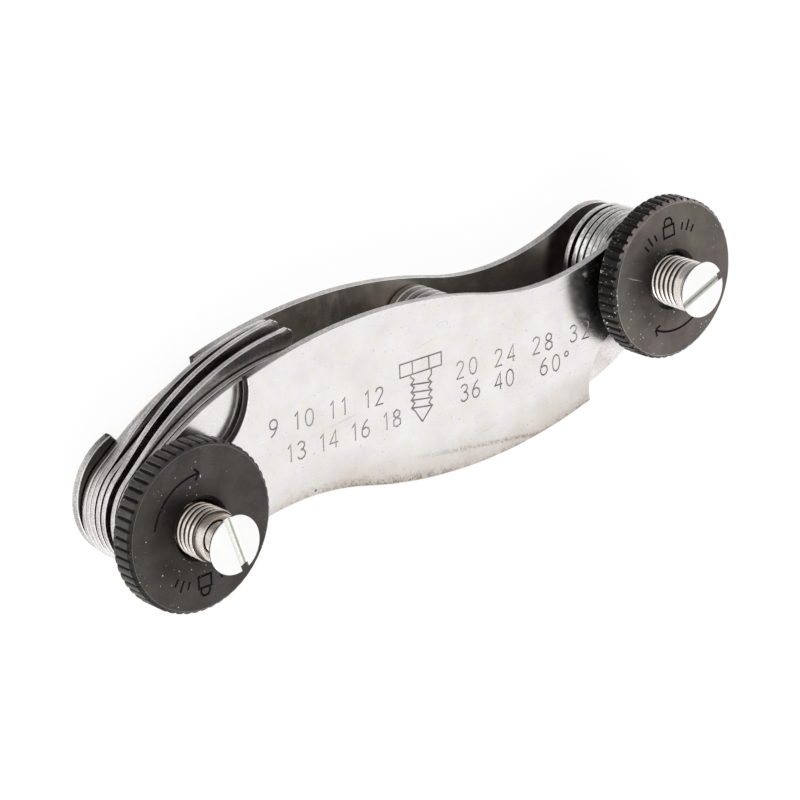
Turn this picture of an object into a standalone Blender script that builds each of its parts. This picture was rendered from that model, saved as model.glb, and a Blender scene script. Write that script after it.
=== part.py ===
"""Thread pitch gauge, lying on its back plate.

Two stamped S-shaped plates are held apart by two riveted pillars of washers. Each end has a threaded
stud, fixed in the back plate, that carries a stack of toothed leaves. A knurled nut locks each stack,
and a slotted screw in the end of the stud keeps the nut on. X runs from stud to stud, Z runs along the
studs, and the origin is on the back plate's outer face, midway between the studs.
"""

import math

import bmesh
import bpy
from mathutils import Matrix, Vector

MM = 0.001

# Case plates
PIVOT_SPAN = 68.74 * MM
PLATE_THICKNESS = 1.0 * MM
EAR_RADIUS = 7.2 * MM
EAR_INWARD = 0.47 * MM                     # each ear's centre from its stud, towards the other ear
EAR_UPWARD = 0.78 * MM                     # and towards its own notch
BELLY_RADIUS = 61.0 * MM
BELLY_PEAK_X = -13.9 * MM                  # highest point of the convex edge
BELLY_PEAK_Y = 12.2 * MM
WAIST_RADIUS = 31.0 * MM
NOTCH_RADIUS = 6.5 * MM
NOTCH_INWARD = 4.8 * MM                    # each thumb notch's centre from its stud
NOTCH_UPWARD = 11.2 * MM

# Pillars
PILLAR_X = 6.2 * MM                        # right pillar, point-mirrored at the left
PILLAR_Y = 3.75 * MM
RIVET_RADIUS = 2.0 * MM
WASHER_RADIUS = 4.0 * MM
WASHER_COUNT = 7

# Leaves
LEAF_THICKNESS = 0.7 * MM
LEAF_EYE_RADIUS = 6.5 * MM
LEAF_STRAIGHT = 4.0 * MM                   # straight run between the eye and the back arc
LEAF_BACK_RADIUS = 31.5 * MM
LEAF_BACK_RISE = math.radians(20.6)        # the straight run above the tooth line's direction
LEAF_REACH = 24.3 * MM                     # stud axis to the sharp tip corner
TIP_SLANT = math.radians(33.5)
TIP_ROUNDING = 0.8 * MM
TIP_INNER_ROUNDING = 0.3 * MM
TOOTH_LINE_HEIGHT = 2.8 * MM               # stud axis to the crests
TOOTH_LINE_START = 1.0 * MM                # plain edge between the eye and the first tooth
TOOTH_LINE_END = 0.7 * MM                  # plain edge between the last tooth and the tip
TOOTH_FLANK = math.radians(30.0)
HOME_ANGLE = math.radians(5.4)             # tooth line above the X axis when a leaf is folded home
LEFT_THREADS_PER_INCH = (9, 10, 11, 12, 13, 14, 16, 18)
RIGHT_THREADS_PER_INCH = (20, 24, 28, 32, 36, 40)
LEFT_FAN_DEGREES = (2.0, 3.5, 8.3, 0.6, 10.2, 8.0, 1.6, 1.3)
RIGHT_FAN_DEGREES = (1.5, 8.6, 10.2, 6.4, 2.8, 1.4)
LEFT_GAPS = (0.1, 0.05, 0.05, 0.25, 0.25, 0.9, 0.15, 0.15)  # mm behind each leaf, from the back
LEFT_SLACK = 0.4                           # mm, before the front plate
RIGHT_GAPS = (1.65, 0.55, 0.25, 0.25, 0.08, 0.07)

# Studs, nuts and retaining screws
STUD_RADIUS = 2.9 * MM
STUD_SPIGOT_RADIUS = 2.5 * MM
STUD_LAND_RADIUS = 2.8 * MM                # plain end past the thread
STUD_LAND_LENGTH = 0.9 * MM
STUD_CHAMFER = 0.15 * MM
STUD_MOUTH_RADIUS = 2.4 * MM
STUD_TAPPING_DEPTH = 4.5 * MM
LEFT_STUD_PROJECTION = 6.45 * MM           # front plate's face to the end of the stud
RIGHT_STUD_PROJECTION = 7.6 * MM
NUT_RADIUS = 9.3 * MM
NUT_THICKNESS = 3.0 * MM
NUT_CHAMFER = 0.3 * MM
NUT_MOUTH = 0.5 * MM
NUT_TOOTH_COUNT = 54
NUT_TOOTH_DEPTH = 0.2 * MM
RIGHT_NUT_LOOSENED = 1.0 * MM              # the right nut is backed off its plate
SCREW_HEAD_RADIUS = 3.2 * MM
SCREW_HEAD_HEIGHT = 8.75 * MM              # front plate's face to the top of the head
SCREW_RIM_THICKNESS = 0.2 * MM             # a cone below it runs down to the shank at 45 degrees
SCREW_SHANK_RADIUS = 1.75 * MM
SCREW_LENGTH = 4.0 * MM                    # below the rim
SLOT_WIDTH = 0.7 * MM
SLOT_DEPTH = 0.45 * MM
LEFT_SLOT_ANGLE = math.radians(96.0)
RIGHT_SLOT_ANGLE = math.radians(12.7)

# Clearances
SEAT_GAP = 0.1 * MM                        # between pieces that rest on each other
RUNNING_GAP = 0.15 * MM                    # round a stud, in a leaf, a plate or a nut
ARC_SAG = 0.03 * MM                        # how far a facet may cut into an arc
TURNED_SIDES = 24
WASHER_SIDES = 20

INCH = 25.4 * MM
CASE_GAP = len(LEFT_THREADS_PER_INCH) * LEAF_THICKNESS + (sum(LEFT_GAPS) + LEFT_SLACK) * MM
FRONT_PLATE_BACK = PLATE_THICKNESS + CASE_GAP
FRONT_PLATE_FACE = FRONT_PLATE_BACK + PLATE_THICKNESS
LEFT_STUD = Vector((-PIVOT_SPAN / 2, 0.0))
RIGHT_STUD = Vector((PIVOT_SPAN / 2, 0.0))
RIGHT_PILLAR = Vector((PILLAR_X, PILLAR_Y))


def polar(centre, radius, angle):
    return Vector((centre.x + radius * math.cos(angle), centre.y + radius * math.sin(angle)))


def heading(start, end):
    return math.atan2(end.y - start.y, end.x - start.x)


def circles_meet(first, first_radius, second, second_radius, side):
    """The point where two circles cross, to the left (side 1) or right (-1) of first -> second."""
    apart = (second - first).length
    along = (first_radius**2 - second_radius**2 + apart**2) / (2 * apart)
    across = math.sqrt(first_radius**2 - along**2)
    direction = (second - first) / apart
    return first + along * direction + side * across * Vector((-direction.y, direction.x))


def arc(centre, radius, start, end, turn):
    """Points from start to end round the centre, anticlockwise for turn 1 and clockwise for -1."""
    first = heading(centre, start)
    sweep = (turn * (heading(centre, end) - first)) % math.tau
    step = 2 * math.acos(1 - ARC_SAG / radius)
    count = max(1, math.ceil(sweep / step))
    return [polar(centre, radius, first + turn * sweep * i / count) for i in range(count + 1)]


def circle(centre, radius, sides=TURNED_SIDES):
    return [polar(centre, radius, math.tau * i / sides) for i in range(sides)]


def rounded_corner(before, corner, after, radius, steps=3):
    """An arc that replaces the corner between two straight edges."""
    back = (before - corner).normalized()
    ahead = (after - corner).normalized()
    half = back.angle(ahead) / 2
    centre = corner + (back + ahead).normalized() * (radius / math.sin(half))
    first = corner + back * (radius / math.tan(half))
    last = corner + ahead * (radius / math.tan(half))
    start = heading(centre, first)
    sweep = (heading(centre, last) - start + math.pi) % math.tau - math.pi
    return [polar(centre, radius, start + sweep * i / steps) for i in range(steps + 1)]


def material(name, colour, roughness, metallic):
    result = bpy.data.materials.new(name)
    result.use_nodes = True
    shader = result.node_tree.nodes["Principled BSDF"]
    shader.inputs["Base Color"].default_value = (*colour, 1.0)
    shader.inputs["Roughness"].default_value = roughness
    shader.inputs["Metallic"].default_value = metallic
    return result


def add_object(name, mesh_data, surface, place=(0.0, 0.0, 0.0), turn=0.0, smooth=True):
    """Turn a bmesh into a named object with outward faces and one material."""
    bmesh.ops.recalc_face_normals(mesh_data, faces=mesh_data.faces)
    mesh = bpy.data.meshes.new(name)
    mesh_data.to_mesh(mesh)
    mesh_data.free()
    if smooth:
        mesh.shade_smooth()
        mesh.set_sharp_from_angle(angle=math.radians(35.0))
    mesh.materials.append(surface)
    result = bpy.data.objects.new(name, mesh)
    result.location = place
    result.rotation_euler = (0.0, 0.0, turn)
    bpy.context.collection.objects.link(result)
    return result


def sheet(outline, holes, thickness):
    """A flat stamping between z = 0 and its thickness."""
    bm = bmesh.new()
    edges = []
    for loop in [outline, *holes]:
        verts = [bm.verts.new((p.x, p.y, 0.0)) for p in loop]
        edges += [bm.edges.new((verts[i - 1], verts[i])) for i in range(len(verts))]
    bmesh.ops.triangle_fill(bm, use_beauty=True, use_dissolve=False, edges=edges)
    grown = bmesh.ops.extrude_face_region(bm, geom=list(bm.faces))["geom"]
    raised = [v for v in grown if isinstance(v, bmesh.types.BMVert)]
    bmesh.ops.translate(bm, verts=raised, vec=(0.0, 0.0, thickness))
    return bm


def turned(profile, sides=TURNED_SIDES, closed=False):
    """A body turned about Z from (radius, height) points; an open profile starts and ends on the axis."""
    bm = bmesh.new()
    verts = [bm.verts.new((radius, 0.0, height)) for radius, height in profile]
    edges = [bm.edges.new(pair) for pair in zip(verts, verts[1:])]
    if closed:
        edges.append(bm.edges.new((verts[-1], verts[0])))
    bmesh.ops.spin(
        bm, geom=verts + edges, cent=(0, 0, 0), axis=(0, 0, 1), angle=math.tau,
        steps=sides, use_merge=True,
    )
    bmesh.ops.remove_doubles(bm, verts=bm.verts, dist=0.001 * MM)
    return bm


def plate_outline():
    """The S-shaped outline: half of it, then the same half turned by 180 degrees."""
    ear = LEFT_STUD + Vector((EAR_INWARD, EAR_UPWARD))
    far_ear = -ear
    notch = LEFT_STUD + Vector((NOTCH_INWARD, NOTCH_UPWARD))
    belly = Vector((BELLY_PEAK_X, BELLY_PEAK_Y - BELLY_RADIUS))
    waist = circles_meet(
        belly, BELLY_RADIUS + WAIST_RADIUS, far_ear, EAR_RADIUS + WAIST_RADIUS, 1
    )
    belly_to_waist = polar(belly, BELLY_RADIUS, heading(belly, waist))
    waist_to_ear = polar(far_ear, EAR_RADIUS, heading(far_ear, waist))
    ear_corner = circles_meet(ear, EAR_RADIUS, notch, NOTCH_RADIUS, 1)
    notch_corner = circles_meet(notch, NOTCH_RADIUS, belly, BELLY_RADIUS, 1)
    half = arc(ear, EAR_RADIUS, -waist_to_ear, ear_corner, -1)
    half += arc(notch, NOTCH_RADIUS, ear_corner, notch_corner, 1)[1:]
    half += arc(belly, BELLY_RADIUS, notch_corner, belly_to_waist, -1)[1:]
    half += arc(waist, WAIST_RADIUS, belly_to_waist, waist_to_ear, 1)[1:-1]
    return half + [-p for p in half]


def plates(steel):
    """Both plates share one outline. The studs are riveted in the back one and run through the front."""
    outline = plate_outline()
    pillars = [circle(place, RIVET_RADIUS + SEAT_GAP) for place in (RIGHT_PILLAR, -RIGHT_PILLAR)]
    for name, height, stud_hole in (
        ("back_plate", 0.0, STUD_SPIGOT_RADIUS + SEAT_GAP),
        ("front_plate", FRONT_PLATE_BACK, STUD_RADIUS + RUNNING_GAP),
    ):
        studs = [circle(place, stud_hole) for place in (LEFT_STUD, RIGHT_STUD)]
        add_object(name, sheet(outline, studs + pillars, PLATE_THICKNESS), steel, (0, 0, height))


def pillars(steel):
    """Two rivets, flush with the plates' outer faces, each through its stack of washers."""
    thickness = (CASE_GAP - (WASHER_COUNT + 1) * SEAT_GAP) / WASHER_COUNT
    bore = RIVET_RADIUS + SEAT_GAP
    washer = [(bore, 0.0), (WASHER_RADIUS, 0.0), (WASHER_RADIUS, thickness), (bore, thickness)]
    rivet = [(0.0, 0.0), (RIVET_RADIUS, 0.0), (RIVET_RADIUS, FRONT_PLATE_FACE), (0.0, FRONT_PLATE_FACE)]
    for side, place in (("right", RIGHT_PILLAR), ("left", -RIGHT_PILLAR)):
        add_object(f"{side}_rivet", turned(rivet), steel, (*place, 0.0))
        for i in range(WASHER_COUNT):
            height = PLATE_THICKNESS + SEAT_GAP + i * (thickness + SEAT_GAP)
            body = turned(washer, WASHER_SIDES, closed=True)
            add_object(f"{side}_washer_{i + 1}", body, steel, (*place, height))


def tooth_edge(start, end, pitch):
    """Sixty-degree teeth with flat crests and roots, from start to end along the tooth line."""
    flat = pitch / 8
    depth = (pitch / 2 - flat) / math.tan(TOOTH_FLANK)
    run = end - TOOTH_LINE_END - (start + TOOTH_LINE_START)
    count = int(run / pitch)
    points = []
    for i in range(count):
        crest_end = end - TOOTH_LINE_END - (count - i) * pitch
        root = crest_end + pitch / 2 - flat
        points += [
            Vector((crest_end, TOOTH_LINE_HEIGHT)),
            Vector((root, TOOTH_LINE_HEIGHT + depth)),
            Vector((root + flat, TOOTH_LINE_HEIGHT + depth)),
            Vector((crest_end + pitch - flat, TOOTH_LINE_HEIGHT)),
        ]
    return points


def leaf_outline(pitch):
    """A leaf about its stud axis, with its tooth line along +X and its round back above."""
    stud = Vector((0.0, 0.0))
    eye_top = polar(stud, LEAF_EYE_RADIUS, math.pi / 2 + LEAF_BACK_RISE)
    back_start = polar(eye_top, LEAF_STRAIGHT, LEAF_BACK_RISE)
    back = polar(back_start, LEAF_BACK_RADIUS, LEAF_BACK_RISE - math.pi / 2)
    tip = circles_meet(stud, LEAF_REACH, back, LEAF_BACK_RADIUS, 1)
    heel = Vector((math.sqrt(LEAF_EYE_RADIUS**2 - TOOTH_LINE_HEIGHT**2), TOOTH_LINE_HEIGHT))
    inner = Vector((tip.x - (tip.y - TOOTH_LINE_HEIGHT) * math.tan(TIP_SLANT), TOOTH_LINE_HEIGHT))
    back_edge = arc(back, LEAF_BACK_RADIUS, tip, back_start, 1)
    outline = rounded_corner(heel, inner, tip, TIP_INNER_ROUNDING)
    outline += rounded_corner(inner, tip, back_edge[1], TIP_ROUNDING)
    outline += back_edge[1:]
    outline += arc(stud, LEAF_EYE_RADIUS, eye_top, heel, 1)
    return outline + tooth_edge(heel.x, inner.x, pitch)


def leaves(side, stud, half_turn, threads, fans, gaps, steel):
    """One stack. The right stack is the left one turned by 180 degrees, as the case is."""
    bore = circle(Vector((0.0, 0.0)), STUD_RADIUS + RUNNING_GAP)
    top = PLATE_THICKNESS
    for i, (per_inch, fan, gap) in enumerate(zip(threads, fans, gaps)):
        blade = sheet(leaf_outline(INCH / per_inch), [bore], LEAF_THICKNESS)
        turn = half_turn + HOME_ANGLE + math.radians(fan)
        add_object(f"{side}_leaf_{i + 1}", blade, steel, (*stud, top + gap * MM), turn)
        top += gap * MM + LEAF_THICKNESS


def stud(side, place, end, nickel):
    """A spigot in the back plate, a shoulder on its inner face, and a tapped and chamfered end."""
    shoulder = PLATE_THICKNESS + SEAT_GAP
    land = end - STUD_LAND_LENGTH
    tapping = SCREW_SHANK_RADIUS + SEAT_GAP
    profile = [
        (0.0, 0.0),
        (STUD_SPIGOT_RADIUS, 0.0),
        (STUD_SPIGOT_RADIUS, shoulder),
        (STUD_RADIUS, shoulder),
        (STUD_RADIUS, land),
        (STUD_LAND_RADIUS, land),
        (STUD_LAND_RADIUS, end - STUD_CHAMFER),
        (STUD_LAND_RADIUS - STUD_CHAMFER, end),
        (STUD_MOUTH_RADIUS, end),
        (tapping, end - (STUD_MOUTH_RADIUS - tapping)),
        (tapping, end - STUD_TAPPING_DEPTH),
        (0.0, end - STUD_TAPPING_DEPTH),
    ]
    add_object(f"{side}_stud", turned(profile), nickel, (*place, 0.0))


def lock_nut(side, place, height, black):
    """A knurled disc: rings of points round the axis, joined from the bore out and back to the bore."""
    bore = STUD_RADIUS + RUNNING_GAP
    low, high = NUT_CHAMFER, NUT_THICKNESS - NUT_CHAMFER
    plain = NUT_RADIUS - NUT_CHAMFER
    rings = [
        (bore, 0.0, 0.0),
        (plain, 0.0, 0.0),
        (NUT_RADIUS, NUT_TOOTH_DEPTH, low),
        (NUT_RADIUS, NUT_TOOTH_DEPTH, high),
        (plain, 0.0, NUT_THICKNESS),
        (bore + NUT_MOUTH, 0.0, NUT_THICKNESS),
        (bore, 0.0, NUT_THICKNESS - NUT_MOUTH),
    ]
    sides = 2 * NUT_TOOTH_COUNT
    bm = bmesh.new()
    loops = []
    for radius, groove, level in rings:
        ring = []
        for i in range(sides):
            p = polar(Vector((0.0, 0.0)), radius - groove * (i % 2), math.tau * i / sides)
            ring.append(bm.verts.new((p.x, p.y, level)))
        loops.append(ring)
    for lower, upper in zip(loops, loops[1:] + loops[:1]):
        for i in range(sides):
            bm.faces.new((lower[i - 1], lower[i], upper[i], upper[i - 1]))
    add_object(f"{side}_lock_nut", bm, black, (*place, height))


def retaining_screw(side, place, slot_angle, chrome):
    """A slotted countersunk head on a plain shank in the stud's tapped end."""
    top = FRONT_PLATE_FACE + SCREW_HEAD_HEIGHT
    rim = top - SCREW_RIM_THICKNESS
    profile = [
        (0.0, rim - SCREW_LENGTH),
        (SCREW_SHANK_RADIUS, rim - SCREW_LENGTH),
        (SCREW_SHANK_RADIUS, rim - (SCREW_HEAD_RADIUS - SCREW_SHANK_RADIUS)),
        (SCREW_HEAD_RADIUS, rim),
        (SCREW_HEAD_RADIUS, top),
        (0.0, top),
    ]
    screw = add_object(f"{side}_retaining_screw", turned(profile), chrome, (*place, 0.0))
    bm = bmesh.new()
    bmesh.ops.create_cube(bm, size=1.0)
    scale = Matrix.Diagonal((3 * SCREW_HEAD_RADIUS, SLOT_WIDTH, 2 * SLOT_DEPTH, 1.0))
    bmesh.ops.transform(bm, matrix=scale, verts=bm.verts)
    cutter = add_object(f"{side}_slot_cutter", bm, chrome, (*place, top), slot_angle, smooth=False)
    cutter.hide_render = True
    cutter.display_type = "WIRE"
    slot = screw.modifiers.new("slot", "BOOLEAN")
    slot.operation = "DIFFERENCE"
    slot.object = cutter


def build():
    for old in list(bpy.data.objects):
        bpy.data.objects.remove(old, do_unlink=True)
    plate_steel = material("plate_steel", (0.72, 0.71, 0.69), 0.32, 1.0)
    leaf_steel = material("leaf_steel", (0.45, 0.44, 0.43), 0.38, 1.0)
    washer_steel = material("washer_steel", (0.5, 0.49, 0.47), 0.35, 1.0)
    nickel = material("nickel", (0.74, 0.70, 0.64), 0.22, 1.0)
    black = material("black_oxide", (0.035, 0.033, 0.032), 0.45, 0.3)
    chrome = material("chrome", (0.85, 0.86, 0.86), 0.12, 1.0)
    plates(plate_steel)
    pillars(washer_steel)
    for side, place, half_turn, threads, fans, gaps in (
        ("left", LEFT_STUD, 0.0, LEFT_THREADS_PER_INCH, LEFT_FAN_DEGREES, LEFT_GAPS),
        ("right", RIGHT_STUD, math.pi, RIGHT_THREADS_PER_INCH, RIGHT_FAN_DEGREES, RIGHT_GAPS),
    ):
        leaves(side, place, half_turn, threads, fans, gaps, leaf_steel)
    nut_seat = FRONT_PLATE_FACE + SEAT_GAP
    for side, place, projection, loosened, slot_angle in (
        ("left", LEFT_STUD, LEFT_STUD_PROJECTION, 0.0, LEFT_SLOT_ANGLE),
        ("right", RIGHT_STUD, RIGHT_STUD_PROJECTION, RIGHT_NUT_LOOSENED, RIGHT_SLOT_ANGLE),
    ):
        stud(side, place, FRONT_PLATE_FACE + projection, nickel)
        lock_nut(side, place, nut_seat + loosened, black)
        retaining_screw(side, place, slot_angle, chrome)


build()
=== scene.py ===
"""Thread pitch gauge: finer shapes, materials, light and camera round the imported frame."""
import math
import bmesh
import bpy
from mathutils import Matrix, Vector


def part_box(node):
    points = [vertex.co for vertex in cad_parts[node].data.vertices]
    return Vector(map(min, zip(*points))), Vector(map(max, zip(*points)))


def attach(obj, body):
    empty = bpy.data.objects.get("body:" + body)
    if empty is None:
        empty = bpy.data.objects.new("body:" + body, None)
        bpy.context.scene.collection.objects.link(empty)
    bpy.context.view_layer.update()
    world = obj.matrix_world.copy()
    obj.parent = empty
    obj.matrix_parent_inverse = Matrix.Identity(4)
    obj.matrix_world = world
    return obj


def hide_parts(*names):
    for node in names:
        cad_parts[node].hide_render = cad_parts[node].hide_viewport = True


MM = 0.001
CM = 0.01
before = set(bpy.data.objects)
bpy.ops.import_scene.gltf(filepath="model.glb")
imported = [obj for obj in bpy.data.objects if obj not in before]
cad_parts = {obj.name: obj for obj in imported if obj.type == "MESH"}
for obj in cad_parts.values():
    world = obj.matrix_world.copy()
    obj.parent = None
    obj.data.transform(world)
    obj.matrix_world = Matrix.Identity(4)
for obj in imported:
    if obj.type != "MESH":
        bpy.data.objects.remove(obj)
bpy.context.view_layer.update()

# Places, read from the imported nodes
LEFT_STUD = sum(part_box("left_stud"), Vector()) / 2
RIGHT_STUD = sum(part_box("right_stud"), Vector()) / 2
PLATE_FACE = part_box("front_plate")[1].z
PLATE_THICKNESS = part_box("back_plate")[1].z

# Case plates
EAR_RADIUS = 7.2 * MM
EAR_OFFSET = Vector((0.47 * MM, 0.78 * MM))
BELLY_RADIUS = 61.0 * MM
BELLY_PEAK = Vector((-13.9 * MM, 12.2 * MM))
WAIST_RADIUS = 31.0 * MM
NOTCH_RADIUS = 6.5 * MM
NOTCH_OFFSET = Vector((4.8 * MM, 11.2 * MM))
PLATE_ARRIS = 0.12 * MM
MARK_RADIUS = 0.09 * MM  # half the width of an engraved line
MARK_HEIGHT = 1.95 * MM

# Pillars
PILLAR_WASHERS = 7
WASHER_ARRIS = 0.16 * MM
WASHER_BORE = 2.2 * MM
RIVET_RADIUS = 2.0 * MM
RIVET_INSET = 0.2 * MM  # below the plates' outer faces

# Leaves
LEAF_THICKNESS = 0.7 * MM
LEAF_ARRIS = 0.11 * MM
TOOTH_ARRIS = 0.03 * MM
LEAF_EYE_RADIUS = 6.5 * MM
LEAF_STRAIGHT = 4.0 * MM
LEAF_BACK_RADIUS = 31.5 * MM
LEAF_BACK_RISE = math.radians(20.6)
LEAF_REACH = 24.3 * MM
TIP_SLANT = math.radians(33.5)
TIP_ROUNDING = 0.8 * MM
TIP_INNER_ROUNDING = 0.3 * MM
TOOTH_LINE_HEIGHT = 2.8 * MM
TOOTH_LINE_START = 1.0 * MM
TOOTH_LINE_END = 0.7 * MM
TOOTH_FLANK = math.radians(30.0)
HOME_ANGLE = math.radians(5.4)
LEFT_THREADS_PER_INCH = (9, 10, 11, 12, 13, 14, 16, 18)
RIGHT_THREADS_PER_INCH = (20, 24, 28, 32, 36, 40)
LEFT_FAN_DEGREES = (2.0, 3.5, 8.3, 0.6, 10.2, 8.0, 1.6, 1.3)
RIGHT_FAN_DEGREES = (1.5, 8.6, 10.2, 6.4, 2.8, 1.4)
INCH = 25.4 * MM

# Studs, nuts and screws
STUD_BORE = 3.05 * MM  # in a leaf, the front plate or a nut
SPIGOT_RADIUS = 2.45 * MM
SPIGOT_INSET = 0.1 * MM
HIDDEN_THREAD = 1.5 * MM  # below the front plate's face
THREAD_CREST = 2.9 * MM
THREAD_ROOT = 2.5 * MM
THREAD_PITCH = 0.71 * MM
LAND_RADIUS = 2.8 * MM
LEFT_LAND_LENGTH = 0.9 * MM
RIGHT_LAND_LENGTH = 0.45 * MM
MOUTH_RADIUS = 2.4 * MM
TAPPING_RADIUS = 1.85 * MM
TAPPING_DEPTH = 4.0 * MM
LEAN = Vector((-0.004, -0.0105))  # the studs lean a little, sideways per unit of height
NUT_RADIUS = 9.3 * MM
NUT_TOOTH_COUNT = 54
NUT_TOOTH_DEPTH = 0.2 * MM
NUT_CHAMFER = 0.38 * MM
NUT_MOUTH = 0.5 * MM
NUT_EDGE = 0.05 * MM
NUT_MARK_RADIUS = 0.13 * MM
HEAD_RADIUS = 3.2 * MM
HEAD_RIM = 0.2 * MM
HEAD_EDGE = 0.09 * MM
SHANK_RADIUS = 1.75 * MM
SLOT_WIDTH = 0.95 * MM
SLOT_DEPTH = 0.55 * MM
LEFT_SLOT_ANGLE = math.radians(99.5)
LEFT_SLOT_SHIFT = 0.2 * MM  # the left slot is cut a little off centre
RIGHT_SLOT_ANGLE = math.radians(12.7)

# Wear, and painted shade on the nuts
STAIN_HALF = 40.0 * MM  # half the length of the brown edge
SPOT = Vector((-17.0, -4.55)) * MM  # a dark spot on the front plate
STREAK_POINT = (-0.00286, -0.00711, 0.0)  # a line of grains along the front plate's lower edge
STREAK_NORMAL = (0.268, 0.963, 0.0)
SCRATCH = (Vector((27.31, 3.03)) * MM, Vector((29.78, 1.62)) * MM)
SCRATCH_WIDTH = 0.4 * MM
STUD_SHADE_OFFSET = Vector((-1.7, 0.3, 0.0)) * MM  # the painted shade on a nut lies mostly to one side of the stud

# Floor
FLOOR_GLOW = 1.04
FLOOR_GLOW_SHARE = 0.88

# Fineness of round shapes
ARC_SAG = 0.003 * MM  # how far an arc's chords stray from it
BORE_SIDES = 72
CORNER_STEPS = 8
ARRIS_STEPS = 4
CHAMFER_STEPS = 6
GROOVE_SIDES = 8
QUARTER_TURN = (0.0, 0.52, 1.05, 1.57)  # steps round a washer's arris
MITRE_LIMIT = 0.5
SHARP_ANGLE = math.radians(40.0)


# ---- plane geometry

def polar(centre, radius, angle):
    return Vector((centre.x + radius * math.cos(angle), centre.y + radius * math.sin(angle)))


def heading(start, end):
    return math.atan2(end.y - start.y, end.x - start.x)


def circles_meet(first, first_radius, second, second_radius, side):
    """Where two circles meet, to the left (1) or right (-1) of the way from first to second."""
    apart = (second - first).length
    along = (first_radius**2 - second_radius**2 + apart**2) / (2 * apart)
    across = math.sqrt(first_radius**2 - along**2)
    direction = (second - first) / apart
    return first + along * direction + side * across * Vector((-direction.y, direction.x))


def arc(centre, radius, start, end, turn):
    """Points of an arc from start to end, anticlockwise (1) or clockwise (-1)."""
    first = heading(centre, start)
    sweep = (turn * (heading(centre, end) - first)) % math.tau
    step = 2 * math.acos(1 - ARC_SAG / radius)
    count = max(1, math.ceil(sweep / step))
    return [polar(centre, radius, first + turn * sweep * i / count) for i in range(count + 1)]


def bore(centre):
    return [polar(centre, STUD_BORE, math.tau * i / BORE_SIDES) for i in range(BORE_SIDES)]


def rounded_corner(before, corner, after, radius):
    back = (before - corner).normalized()
    ahead = (after - corner).normalized()
    half = back.angle(ahead) / 2
    centre = corner + (back + ahead).normalized() * (radius / math.sin(half))
    first = corner + back * (radius / math.tan(half))
    last = corner + ahead * (radius / math.tan(half))
    start = heading(centre, first)
    sweep = (heading(centre, last) - start + math.pi) % math.tau - math.pi
    return [polar(centre, radius, start + sweep * i / CORNER_STEPS) for i in range(CORNER_STEPS + 1)]


def plate_circles():
    """Centres of the ear, notch, belly and waist arcs of the half with the left stud."""
    ear = LEFT_STUD.to_2d() + EAR_OFFSET
    notch = LEFT_STUD.to_2d() + NOTCH_OFFSET
    belly = BELLY_PEAK - Vector((0.0, BELLY_RADIUS))
    waist = circles_meet(belly, BELLY_RADIUS + WAIST_RADIUS, -ear, EAR_RADIUS + WAIST_RADIUS, 1)
    return ear, notch, belly, waist


def plate_outline():
    ear, notch, belly, waist = plate_circles()
    belly_to_waist = polar(belly, BELLY_RADIUS, heading(belly, waist))
    waist_to_ear = polar(-ear, EAR_RADIUS, heading(-ear, waist))
    ear_corner = circles_meet(ear, EAR_RADIUS, notch, NOTCH_RADIUS, 1)
    notch_corner = circles_meet(notch, NOTCH_RADIUS, belly, BELLY_RADIUS, 1)
    half = arc(ear, EAR_RADIUS, -waist_to_ear, ear_corner, -1)
    half += arc(notch, NOTCH_RADIUS, ear_corner, notch_corner, 1)[1:]
    half += arc(belly, BELLY_RADIUS, notch_corner, belly_to_waist, -1)[1:]
    half += arc(waist, WAIST_RADIUS, belly_to_waist, waist_to_ear, 1)[1:-1]
    return half + [-p for p in half]


def tooth_edge(start, end, pitch):
    """Thread teeth in a leaf's straight edge. Crests and roots are flat for an eighth of the pitch."""
    flat = pitch / 8
    depth = (pitch / 2 - flat) / math.tan(TOOTH_FLANK)
    run = end - TOOTH_LINE_END - (start + TOOTH_LINE_START)
    count = int(run / pitch)
    points = []
    for i in range(count):
        crest_end = end - TOOTH_LINE_END - (count - i) * pitch
        root = crest_end + pitch / 2 - flat
        points += [
            Vector((crest_end, TOOTH_LINE_HEIGHT)),
            Vector((root, TOOTH_LINE_HEIGHT + depth)),
            Vector((root + flat, TOOTH_LINE_HEIGHT + depth)),
            Vector((crest_end + pitch - flat, TOOTH_LINE_HEIGHT)),
        ]
    return points


def leaf_outline(pitch):
    """The outline of a leaf and the rounding of its arris at each point."""
    stud = Vector((0.0, 0.0))
    eye_top = polar(stud, LEAF_EYE_RADIUS, math.pi / 2 + LEAF_BACK_RISE)
    back_start = polar(eye_top, LEAF_STRAIGHT, LEAF_BACK_RISE)
    back = polar(back_start, LEAF_BACK_RADIUS, LEAF_BACK_RISE - math.pi / 2)
    tip = circles_meet(stud, LEAF_REACH, back, LEAF_BACK_RADIUS, 1)
    heel = Vector((math.sqrt(LEAF_EYE_RADIUS**2 - TOOTH_LINE_HEIGHT**2), TOOTH_LINE_HEIGHT))
    inner = Vector((tip.x - (tip.y - TOOTH_LINE_HEIGHT) * math.tan(TIP_SLANT), TOOTH_LINE_HEIGHT))
    back_edge = arc(back, LEAF_BACK_RADIUS, tip, back_start, 1)
    outline = rounded_corner(heel, inner, tip, TIP_INNER_ROUNDING)
    outline += rounded_corner(inner, tip, back_edge[1], TIP_ROUNDING)
    outline += back_edge[1:]
    outline += arc(stud, LEAF_EYE_RADIUS, eye_top, heel, 1)[1:]
    teeth = tooth_edge(heel.x, inner.x, pitch)
    return outline + teeth, [LEAF_ARRIS] * len(outline) + [TOOTH_ARRIS] * len(teeth)


# ---- mesh helpers

def as_mesh(name, bm):
    mesh = bpy.data.meshes.new(name)
    bm.to_mesh(mesh)
    bm.free()
    return mesh


def add_object(name, data):
    obj = bpy.data.objects.new(name, data)
    bpy.context.scene.collection.objects.link(obj)
    return obj


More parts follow.
